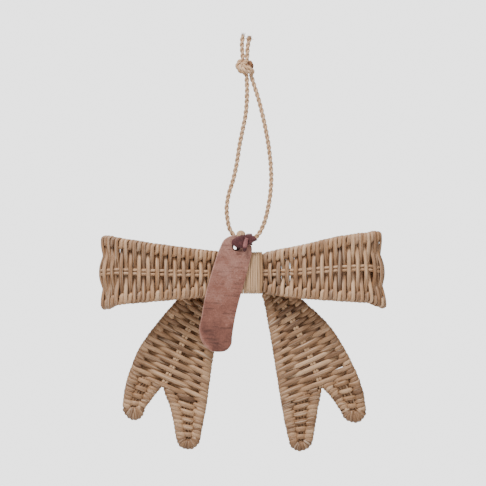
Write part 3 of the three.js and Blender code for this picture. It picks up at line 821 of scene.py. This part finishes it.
def rim_wrap(skin, rows, at_far, tones, closed, half_width):
    """A strand wound round a rim's stakes where the weft leaves a gap, first front, then back."""
    cane = Cane()
    angle = np.linspace(0, math.pi, RIM_TURN_STEPS + 1)[1:-1]
    share = smoothstep(0, math.pi, angle)[:, None]
    for number, row in enumerate(rows):
        is_front = number % 2 == 1
        sign = 1.0 if is_front else -1.0
        goes_out = is_front == at_far
        ends = row.groups[-1 if at_far else 0]
        span = np.linspace(*(ends if goes_out == at_far else ends[::-1]), 4)
        cane.add(row.point(span, sign * row.swing * np.ones(4)), row.stake, tones[number], tones[number])
        if number + 1 < len(rows) or closed:
            after = (number + 1) % len(rows)
            first = wrap_point(row, at_far, goes_out, angle, sign)
            second = wrap_point(rows[after], at_far, goes_out, angle, sign)
            turn = first * (1 - share) + second * share
            cane.add(turn, unit(row.stake + rows[after].stake), tones[number], tones[after])
    cane.sweep(skin, closed, half_width)


def weave(skin, rows, closed, half_width):
    """The weft across the rows and a wrap along each rim."""
    weft(skin, rows, row_tones(len(rows)), closed, half_width)
    for at_far in (False, True):
        rim_wrap(skin, rows, at_far, row_tones(len(rows)), closed, half_width)


def rod(skin, rows, place, radius, closed=False, tone=0.5, push=0.0002):
    """A stake through the rows, pushed a little aside by each strand."""
    points = []
    for number, row in enumerate(rows):
        t = place(row)
        points.append(row.point(t, -push * np.sign(row.depth(t, number))))
    path = Path(points, closed).spaced(ROD_STEP)
    path = path + wobble(len(path), 0.00008, 25, rng)
    skin.tube(path, radius, tone, closed=closed)


def row_tones(count):
    """Each strand's own shade, with neighbours that share a stretch of cane a little alike."""
    slow = 0.5 + wobble(count, 0.14, 12, rng)[:, 0]
    return np.clip(slow + rng.normal(0, 0.2, count), 0, 1)


# The bow


def half_plan(loop, side):
    """Half of the folded strip's plan: out along the front, round the end and back."""
    end = loop["reach"] - OVER
    back = BACK_LAYER_Y - BACK_DIP
    root = WRAP_HALF_WIDTH + 0.001

    def front(share):
        return FRONT_LAYER_Y - FRONT_BULGE * share

    plan = [
        (0.004, front(0)), (root, front(0)), (root + 0.009, front(0.15)), (0.38 * end, front(0.52)),
        (0.6 * end, front(0.9)), (0.79 * end, front(1)), (end - 0.0095, front(0.76)), (end, front(0.15)),
        (end - 0.006, back - 0.0002), (end - 0.019, back - 0.0002), (0.5 * end, back - 0.0002),
        (root + 0.009, back), (root, BACK_LAYER_Y), (0.004, BACK_LAYER_Y),
    ]
    return [(side * x, y, 0) for x, y in plan]


def strip_heights(x):
    """Middle height and half height of the woven strip at a distance from the bow's middle."""
    loop = LEFT_LOOP if x < 0 else RIGHT_LOOP
    far = abs(x)
    share = np.clip((far - WRAP_HALF_WIDTH) / (loop["reach"] - WRAP_HALF_WIDTH), 0, 1)
    is_open = smoothstep(WRAP_HALF_WIDTH + 0.0005, WRAP_HALF_WIDTH + 0.0035, far)
    bump_end = loop["reach"] - END_BUMP_LENGTH
    bump = END_BUMP * smoothstep(bump_end - 0.005, bump_end, far)
    half = np.interp(share, (0, 1), loop["half"]) + bump
    middle = np.interp(share, (0, 1), loop["middle"])
    rise = np.interp(share, PROFILE_SHARES, LEFT_RISE if x < 0 else RIGHT_RISE)
    drop = 0.0 if x < 0 else np.interp(share, PROFILE_SHARES, RIGHT_DROP)
    half = half + (rise + drop) / 2
    middle = middle + (rise - drop) / 2
    return middle * is_open, BOUND_HALF + (half - BOUND_HALF) * is_open


def row_runs(plan):
    """Where the rows lie along the plan: closer together round the loops' ends and behind them."""
    run = np.linspace(0, plan.length, 2400)
    x, y = plan.at(run)[:, :2].T
    reach = np.where(x < 0, LEFT_LOOP["reach"], RIGHT_LOOP["reach"])
    density = 1 + END_CROWDING * smoothstep(reach - 0.014, reach - 0.004, np.abs(x))
    behind = smoothstep(0, BACK_LAYER_Y, y)
    density = density + np.where(x > 0, RIGHT_BACK_CROWDING, LEFT_BACK_CROWDING) * behind
    filled = np.append(0, np.cumsum((density[1:] + density[:-1]) / 2 * np.diff(run)))
    count = 2 * round(filled[-1] / ROW_PITCH / 2)
    return np.interp(np.arange(count) * filled[-1] / count, filled, run)


def bow_rows():
    """The strip's rows, once round both loops; the right loop's end leans back at its top."""
    plan = Path(half_plan(RIGHT_LOOP, 1) + half_plan(LEFT_LOOP, -1)[::-1], closed=True)
    inner = RIM_INSET + STAKE
    rows = []
    for number, run in enumerate(row_runs(plan)):
        run = run + (ODD_ROW_SHIFT if number % 2 else 0.0) + rng.normal(0, 0.0001)
        place = plan.at(run)
        far = abs(place[0])
        tangent = plan.tangent(run)
        middle, half = strip_heights(place[0])
        half = half + EDGE_OVERHANG + rng.normal(0, 0.0002)
        reach = (LEFT_LOOP if place[0] < 0 else RIGHT_LOOP)["reach"]
        swell = END_SWELL * smoothstep(reach - 0.02, reach - 0.003, far)
        is_open = smoothstep(WRAP_HALF_WIDTH - 0.002, WRAP_HALF_WIDTH + 0.006, far)
        swing = SWING * (BOUND_SWING + (1 - BOUND_SWING) * is_open)
        swing = swing * (1 - END_SWING_CUT * smoothstep(reach - 0.013, reach - 0.004, far))
        groups = [
            (RIM_INSET, inner), (half - MID_STAKE, half + MID_STAKE),
            (2 * half - inner, 2 * half - RIM_INSET),
        ]
        lean = RIGHT_END_LEAN * smoothstep(reach - 0.035, reach, place[0])
        low = place + BOW + (0.15 * lean, 0, middle - half)
        high = place + BOW + (-lean, 0, middle + half)
        rows.append(Row(low, high, (tangent[1], -tangent[0], 0), groups, swing, swell))
    return rows


def woven_bow():
    skin = Skin()
    rows = bow_rows()
    weave(skin, rows, True, STRAND_HALF_WIDTH)
    # Dark strands inside the loops' ends, behind the gaps between rows: painted shade seen through the
    # gaps
    for row, following in zip(rows, rows[1:] + rows[:1]):
        if row.swell > 0.3 * END_SWELL:
            t = np.linspace(RIM_INSET, row.length - RIM_INSET, 12)
            behind = (row.point(t, -GAP_SHADE_DEPTH) + following.point(t, -GAP_SHADE_DEPTH)) / 2
            skin.tube(behind, GAP_SHADE_RADIUS, 0.2)
    second = RIM_INSET + STAKE + 0.0001
    places = [
        lambda row: RIM_INSET, lambda row: second,
        lambda row: (row.length - MID_STAKE) / 2, lambda row: (row.length + MID_STAKE) / 2,
        lambda row: row.length - second, lambda row: row.length - RIM_INSET,
    ]
    for number, place in enumerate(places):
        is_mid = number in (2, 3)
        tone = 0.7 if is_mid else 0.4
        rod(skin, rows, place, MID_ROD_RADIUS if is_mid else STAKE / 2, closed=True, tone=tone)
    return skin.piece("woven_bow", BOW_RATTAN, "bow_body")


# The tails


def edge(points, side, count):
    """Points at equal steps down an edge of a tail, in the bow's frame."""
    path = Path([(side * x, TAIL_Y, z) for x, z in points])
    return path.at(np.linspace(0, path.length, count + 1))


def edge_length(points):
    return Path([(x, 0, z) for x, z in points]).length


def panel_groups(length, share):
    """The rods that a tail's row crosses, with its middle ones at a share of its length."""
    inner = RIM_INSET + TAIL_RIM
    middle = length * share
    return [
        (RIM_INSET, inner), (middle - TAIL_MID_HALF, middle + TAIL_MID_HALF),
        (length - inner, length - RIM_INSET),
    ]


def tail_rows(tail):
    """The neck's rows, then those of the panel down to the fork."""
    count = round(edge_length(tail["outer"]) / ROW_PITCH)
    lines = (tail["outer"], tail["spine"], tail["inner"])
    outer, spine, inner = (edge(line, tail["side"], count) for line in lines)
    near_top, far_top = (np.array((tail["side"] * x, NECK_Y, z)) for x, z in NECK_TOPS)
    rows = []
    for share in np.arange(NECK_ROWS) / NECK_ROWS:
        near = near_top * (1 - share) + outer[0] * share
        far = far_top * (1 - share) + inner[0] * share
        groups = panel_groups(max(np.linalg.norm(far - near), NECK_LEAST_WIDTH), 0.5)
        rows.append(Row(near + BOW, far + BOW, TAIL_FRONT, groups, SWING * (0.35 + 0.5 * share)))
    for number in range(count + 1):
        length = np.linalg.norm(inner[number] - outer[number])
        share = np.linalg.norm(spine[number] - outer[number]) / length
        step = unit(outer[min(number + 1, count)] - outer[max(number - 1, 0)])
        shift = step * rng.normal(0, 0.00012) + BOW
        groups = panel_groups(length, share)
        rows.append(Row(outer[number] + shift, inner[number] + shift, TAIL_FRONT, groups, SWING))
    return rows, outer, spine, inner


def lobe_rows(tail, lobe, outside_top, inside_top):
    """Rows from the fork down to the lobe's round end."""
    count = round(abs(outside_top[0][1] - lobe["outside"][-1][1]) / ROW_PITCH)
    outside = edge(outside_top + lobe["outside"], tail["side"], count)
    inside = edge(inside_top + lobe["inside"], tail["side"], count)
    rows = []
    for a, b in zip(outside, inside):
        groups = panel_groups(np.linalg.norm(b - a), 0.5)
        rows.append(Row(a + BOW, b + BOW, TAIL_FRONT, groups, SWING))
    return rows[LOBE_SKIPS:], outside[-1], inside[-1]


def tip_rows(tail, lobe, outside, inside):
    """Rows that fan round the end of a lobe, each from the rim to the lobe's middle."""
    tip = np.array([tail["side"] * lobe["tip"][0], TAIL_Y, lobe["tip"][1]])
    centre = (outside + inside) / 2
    across = (outside - inside) / 2
    down = tip - centre
    arc = math.pi * (np.linalg.norm(across) + np.linalg.norm(down)) / 2
    count = round(arc / TIP_PITCH)
    rows = []
    for number in range(count + 1):
        angle = math.pi * number / count
        rim = centre + across * math.cos(angle) + down * math.sin(angle)
        hub = centre + (rim - centre) * rng.uniform(0.1, 0.36) - down * 0.16
        span = np.linalg.norm(hub - rim)
        groups = [(RIM_INSET, max(span - RIM_INSET, RIM_INSET + 0.0004))]
        rows.append(Row(rim + BOW, hub + BOW, TAIL_FRONT, groups, SWING))
    return rows


def beside_middle(offset):
    """Where a rod beside a row's middle crosses it."""
    return lambda row: sum(row.groups[1]) / 2 + offset


def lobe(skin, tail, shape, outside_top, inside_top):
    rows, outside, inside = lobe_rows(tail, shape, outside_top, inside_top)
    weave(skin, rows, False, TAIL_STRAND_HALF_WIDTH)
    fan = tip_rows(tail, shape, outside, inside)
    rim_wrap(skin, fan, False, row_tones(len(fan)) * 0.5, False, STRAND_HALF_WIDTH)
    for inset in (RIM_INSET, RIM_INSET + TAIL_RIM + 0.0005):
        path = [row.point(inset, 0) for row in rows + fan[1:-1]]
        path += [row.point(row.length - inset, 0) for row in rows[::-1]]
        skin.tube(Path(path).spaced(ROD_STEP), STAKE / 2, 0.4)
    for offset in (-LOBE_ROD_OFFSET, 0, LOBE_ROD_OFFSET):
        rod(skin, rows, beside_middle(offset), LOBE_ROD_RADIUS, tone=0.45)
    hub = (outside + inside) / 2 + BOW
    tip = np.array([tail["side"] * shape["tip"][0], TAIL_Y, shape["tip"][1]])
    end = hub + (tip + BOW - hub) * 0.45
    last = rows[-1].point(rows[-1].length / 2, 0)
    skin.tube(Path([last, hub, end]).spaced(0.0015), LOBE_END_RADIUS, 0.35)


def woven_tail(name, tail, node):
    skin = Skin()
    rows, outer, spine, inner = tail_rows(tail)
    weave(skin, rows, False, TAIL_STRAND_HALF_WIDTH)
    for inset in (RIM_INSET, RIM_INSET + TAIL_RIM):
        rod(skin, rows, lambda row, inset=inset: inset, STAKE / 2, tone=0.45)
        rod(skin, rows, lambda row, inset=inset: row.length - inset, STAKE / 2, tone=0.45)
    for offset in (-TAIL_MID_OFFSET, TAIL_MID_OFFSET):
        rod(skin, rows, beside_middle(offset), TAIL_MID_ROD, tone=1.1, push=0.0017)
    for share in np.linspace(0.08, 0.92, 5):
        foot = rows[1].point(rows[1].length * share, 0)
        stem = rows[0].point(rows[0].length * share, 0)
        top = np.array([stem[0], stem[1], BOW[2] + NECK_STEM_TOP])
        skin.tube(Path([foot, stem, top]).spaced(0.0015), NECK_STEM_RADIUS, 0.4)
    flat = [[(tail["side"] * p[0], p[2]) for p in points[-2:]] for points in (outer, spine, inner)]
    lobe(skin, tail, tail["outer_lobe"], flat[0], flat[1])
    lobe(skin, tail, tail["inner_lobe"], flat[1], flat[2])
    return skin.piece(name, TAIL_RATTAN, node)


# The wrap and the eye


def band_points(half_depth, half_height, count=120):
    angle = np.linspace(0, 2 * math.pi, count, endpoint=False)
    power = 2 / WRAP_SQUARENESS
    y = half_depth * np.sign(np.cos(angle)) * np.abs(np.cos(angle)) ** power
    z = half_height * np.sign(np.sin(angle)) * np.abs(np.sin(angle)) ** power
    return Path(np.stack([0 * y, y, z], axis=1), closed=True).spaced(0.0009)


def centre_wrap():
    skin = Skin()
    width = 2 * WRAP_HALF_WIDTH / WRAP_STRIPS
    half = WRAP_WALL / 2
    for number in range(WRAP_STRIPS):
        ring = band_points(WRAP_HALF_DEPTH - half, WRAP_HALF_HEIGHT - half)
        normals = ring * (0, 1 / WRAP_HALF_DEPTH ** 2, 1 / WRAP_HALF_HEIGHT ** 2)
        normals = np.sign(normals) * np.abs(normals) ** 3
        ring[:, 2] = np.where(ring[:, 2] < 0, ring[:, 2] * WRAP_SAG, ring[:, 2])
        x = -WRAP_HALF_WIDTH + (number + 0.5) * width
        ring = ring + (x, 0, 0) + BOW + wobble(len(ring), 0.00012, 60, rng) * (1, 0.4, 0.4)
        # The last strip, at the wrap's right edge, gets the darkest tone: painted shade along that edge
        tone = 0.0 if number + 1 == WRAP_STRIPS else rng.uniform(0.35, 0.75)
        skin.strip(ring, unit(normals), width / 2 * 0.97, half, tone, closed=True)
    return skin.piece("peeled_wrap", PEELED, "centre_wrap")


def hanging_eye():
    skin = Skin()
    middle_half = EYE_INSIDE_HALF + EYE_THICKNESS / 2
    arch_z = EYE_INSIDE_TOP - EYE_INSIDE_HALF
    foot = WRAP_HALF_HEIGHT + GAP
    angle = np.linspace(math.pi, 0, 13)
    arch = [(0, middle_half * math.cos(a), arch_z + middle_half * math.sin(a)) for a in angle]
    path = Path([(0, -middle_half, foot)] + arch + [(0, middle_half, foot)]).spaced(0.0008)
    normals = path - (0, 0, arch_z)
    normals[:, 2] = np.maximum(normals[:, 2], 0)
    path = path + BOW + (EYE_X, 0, 0)
    skin.strip(path, unit(normals), EYE_WIDTH / 2, EYE_THICKNESS / 2, 0.35, crown=0.45, bend=EYE_CROWN)
    return skin.piece("rattan_eye", PEELED, "hanging_eye")


# The tag and its thong


def tag_outline(count):
    """Evenly spaced points round the tag's hand-cut edge, from its hole."""
    path = Path([(x * TAG_WIDTH, 0, z * TAG_LENGTH) for x, z in TAG_EDGE], closed=True)
    return path.at(np.arange(count) * path.length / count)[:, [0, 2]]


def tag_back_y(x):
    return -WRAP_HALF_DEPTH - TAG_STAND_OFF + math.tan(TAG_YAW) * (x - TAG_HOLE_X)


def creases(x, z):
    """Slow dents and finer creases that run across the leather."""
    slow = np.sin(x * 260 + z * 90) * 0.3 + np.sin(z * 170 + x * 60 + 1.3) * 0.5
    fine = np.sin(z * 900 + np.sin(x * 210) * 2.2 + 0.6) * np.sin(x * 130 + z * 310)
    fine += np.sin(z * 1500 + np.sin(x * 330 + 2) * 2.5) * np.sin(x * 190 - z * 140 + 2)
    return 0.00012 * slow + 0.00008 * fine


def leather_tag():
    """Rings from the edge over the face to the hole, through a dark sheet of painted shade that narrows
    the hole, and back over the back.
    """
    outline = tag_outline(220)
    angle = np.arctan2(outline[:, 1] / TAG_HOLE_HEIGHT, outline[:, 0] / TAG_HOLE_WIDTH)
    hole = np.stack([np.cos(angle) * TAG_HOLE_WIDTH / 2, np.sin(angle) * TAG_HOLE_HEIGHT / 2], axis=1)
    inward = unit(hole - outline)
    start = outline + inward * TAG_BEVEL
    end = hole - inward * TAG_BEVEL * 0.6
    rings = []
    tone = []

    def ring(flat, depth, shade):
        x, z = flat.T
        rings.append(np.stack([x, -depth * np.ones_like(x), z], axis=1))
        tone.append(shade * np.ones_like(x))

    ring(outline, TAG_BEVEL, 0.9)
    ring(outline, TAG_THICKNESS - TAG_BEVEL, 0.95)
    ring(outline + inward * TAG_BEVEL * 0.3, TAG_THICKNESS - TAG_BEVEL * 0.3, 0.85)
    for share in np.linspace(0, 1, 44) ** 1.15:
        flat = start + (end - start) * share
        x, z = flat.T
        # Painted highlight: the face is lighter near the edge on the tag's left side only
        left_edge_highlight = 0.35 * smoothstep(0.06, 0.0, share) * (x < 0)
        shade = 0.62 + 0.47 * (z - z.max()) / TAG_LENGTH + left_edge_highlight
        ring(flat, TAG_THICKNESS + (creases(x, z) - 0.0001), shade)
    # The hole's wall and a sheet that narrows the hole, dark as painted shade
    ring(hole, TAG_THICKNESS - TAG_BEVEL * 0.7, TAG_HOLE_SHADE_TONE)
    hole_shade_sheet = hole * TAG_HOLE_SHADE_SHARE + TAG_HOLE_SHADE_CENTRE
    ring(hole_shade_sheet, TAG_THICKNESS * 0.6, TAG_HOLE_SHADE_TONE)
    ring(hole_shade_sheet, TAG_BEVEL * 0.7, TAG_HOLE_SHADE_TONE)
    for share in np.linspace(1, 0, 12):
        ring(start + (end - start) * share, 0.0, 0.4)
    rings = np.array(rings)
    turn = np.array(Matrix.Rotation(TAG_YAW, 3, "Z") @ Matrix.Rotation(TAG_TILT, 3, "Y"))
    placed = rings @ turn.T + (TAG_HOLE_X, tag_back_y(TAG_HOLE_X), TAG_HOLE_Z) + BOW
    skin = Skin()
    skin.add_rings(placed, rings, np.array(tone), closed=True)
    return skin.piece("leather_tag_plain", TAG_LEATHER, "leather_tag")


def thong_ring_path():
    back_y = tag_back_y(TAG_HOLE_X)
    clear = GAP + THONG_THICKNESS / 2
    front_y = back_y - TAG_THICKNESS - clear
    reach = TWINE / 2 + clear + THONG_SLACK
    hole = TAG_HOLE_Z + TAG_HOLE_HEIGHT / 2 - THONG_THICKNESS
    hole_x = TAG_HOLE_X + 0.0005
    return [
        (hole_x, back_y + clear + 0.0009, hole + 0.0006), (hole_x, (back_y + front_y) / 2, hole - 0.0013),
        (hole_x + 0.0004, front_y - 0.0002, hole + 0.0003), (hole_x + 0.0046, front_y, hole + 0.0044),
        (THONG_TWINE_X - 0.0022, front_y, EYE_TWINE_Z + 0.0014),
        (THONG_TWINE_X - 0.0004, front_y + 0.0034, EYE_TWINE_Z + 0.0032),
        (THONG_TWINE_X, 0, EYE_TWINE_Z + reach), (THONG_TWINE_X, reach, EYE_TWINE_Z),
        (THONG_TWINE_X, 0, EYE_TWINE_Z - reach), (THONG_TWINE_X, -0.006, EYE_TWINE_Z - 0.0044),
    ]


def strap_normals(ring):
    """Normals of a closed strap that stays level from side to side."""
    tangents = np.roll(ring, -1, axis=0) - np.roll(ring, 1, axis=0)
    tangents[:, 0] = 0
    tangents = unit(tangents)
    return np.stack([0 * tangents[:, 0], tangents[:, 2], -tangents[:, 1]], axis=1)


def flat_strap(skin, route, half_width, tone):
    """A stretch of the thong that faces the camera's side."""
    facing = np.tile((0.0, -1.0, 0.0), (len(route), 1))
    skin.strip(route + BOW, facing, half_width, THONG_THICKNESS / 2, tone)


def tag_thong():
    skin = Skin()
    ring = Path(thong_ring_path(), closed=True).spaced(0.0008)
    width = np.where(ring[:, 0] < TAG_HOLE_X + 0.002, THONG_HOLE_WIDTH, THONG_WIDTH) / 2
    skin.strip(ring + BOW, strap_normals(ring), width, THONG_THICKNESS / 2, 0.4, closed=True)
    back = tag_back_y(THONG_FRONT[0][0]) - TAG_THICKNESS - GAP
    broad = Path([(x, half, z) for x, z, half in THONG_FRONT]).spaced(THONG_STEP)
    half_width = broad[:, 1].copy()
    ripple = 0.0004 * np.sin(np.linspace(0, 9, len(broad)))
    broad[:, 1] = back - THONG_THICKNESS / 2 - THONG_FRONT_LIFT - ripple
    flat_strap(skin, broad, half_width, 0.3)
    hanging = Path([(x, back - THONG_END_LIFT, z) for x, z in THONG_END]).spaced(THONG_STEP)
    share = np.linspace(0, 1, len(hanging))
    taper = (0.75 + 0.25 * smoothstep(0, 0.5, share)) * np.sqrt(1.02 - share ** 8)
    flat_strap(skin, hanging, THONG_END_WIDTH / 2 * taper, 0.7 - 0.6 * smoothstep(0.6, 0.8, share))
    # The thong where it passes inside the hole; its darkest tone is painted shade in the hole
    inside = tag_back_y(THONG_IN_HOLE[0][0]) - TAG_THICKNESS * 0.6
    in_hole = Path([(x, inside, z) for x, z in THONG_IN_HOLE]).spaced(THONG_STEP)
    flat_strap(skin, in_hole, THONG_IN_HOLE_HALF, 0.1)
    return skin.piece("leather_thong", THONG_LEATHER, "tag_thong")


# Floor and light


def add_floor():
    place = (0, 0, FLOOR_Z)
    bpy.ops.mesh.primitive_circle_add(vertices=96, radius=FLOOR_RADIUS, fill_type="NGON", location=place)
    floor = bpy.context.object
    floor.name = "pale_floor"
    material = bpy.data.materials.new("pale_floor")
    material.use_nodes = True
    shader = material.node_tree.nodes["Principled BSDF"]
    shader.inputs["Base Color"].default_value = (0.86, 0.86, 0.86, 1)
    shader.inputs["Roughness"].default_value = 0.9
    floor.data.materials.append(material)


def add_area(name, location, target, size, power):
    data = bpy.data.lights.new(name, "AREA")
    data.size = size
    data.energy = power
    light = bpy.data.objects.new(name, data)
    bpy.context.scene.collection.objects.link(light)
    light.location = location
    direction = np.array(target) - np.array(location)
    light.rotation_mode = "QUATERNION"
    light.rotation_quaternion = Vector(direction).to_track_quat("-Z", "Y")


def add_lights():
    """Soft light all round, a surround for the camera alone, and a large key from the upper left."""
    world = bpy.data.worlds.new("studio")
    world.use_nodes = True
    tree = world.node_tree
    soft = tree.nodes["Background"]
    soft.inputs["Color"].default_value = WHITE
    soft.inputs["Strength"].default_value = SOFT_LIGHT
    surround = tree.nodes.new("ShaderNodeBackground")
    surround.inputs["Strength"].default_value = SURROUND
    rays = tree.nodes.new("ShaderNodeLightPath")
    mix = tree.nodes.new("ShaderNodeMixShader")
    tree.links.new(rays.outputs["Is Camera Ray"], mix.inputs[0])
    tree.links.new(soft.outputs[0], mix.inputs[1])
    tree.links.new(surround.outputs[0], mix.inputs[2])
    tree.links.new(mix.outputs[0], tree.nodes["World Output"].inputs["Surface"])
    bpy.context.scene.world = world
    middle = (BOW[0], 0, BOW[2])
    add_area("key", (-0.5, -0.9, 1.25), middle, 0.6, 46)
    add_area("fill", (0.9, -1.1, 0.3), middle, 0.9, 6)
    add_area("back", (-0.4, 1.2, 0.7), middle, 0.9, 16)


BOW_RATTAN = rattan(
    "bow_rattan", linear(94, 64, 44), linear(160, 118, 82), linear(207, 169, 132),
    grey=linear(182, 158, 136),
)
TAIL_RATTAN = rattan("tail_rattan", linear(92, 64, 44), linear(150, 113, 81), linear(192, 156, 121))
PEELED = rattan(
    "peeled_rattan", linear(112, 72, 42), linear(160, 120, 82), linear(198, 163, 127), streak=0.8,
)
JUTE = jute()
TAG_LEATHER = leather("tag_leather", linear(70, 38, 32), linear(134, 86, 72), linear(184, 140, 126))
THONG_LEATHER = leather(
    "thong_leather", linear(44, 20, 22), linear(86, 45, 46), linear(160, 106, 104), crease_shade_share=0.3,
)

add_camera()
twine, twine_length, twine_centres = twine_loop()
knot = twine_knot()
woven_bow()
woven_tail("woven_left_tail", LEFT_TAIL, "left_tail")
woven_tail("woven_right_tail", RIGHT_TAIL, "right_tail")
centre_wrap()
hanging_eye()
leather_tag()
tag_thong()
add_floor()
add_lights()
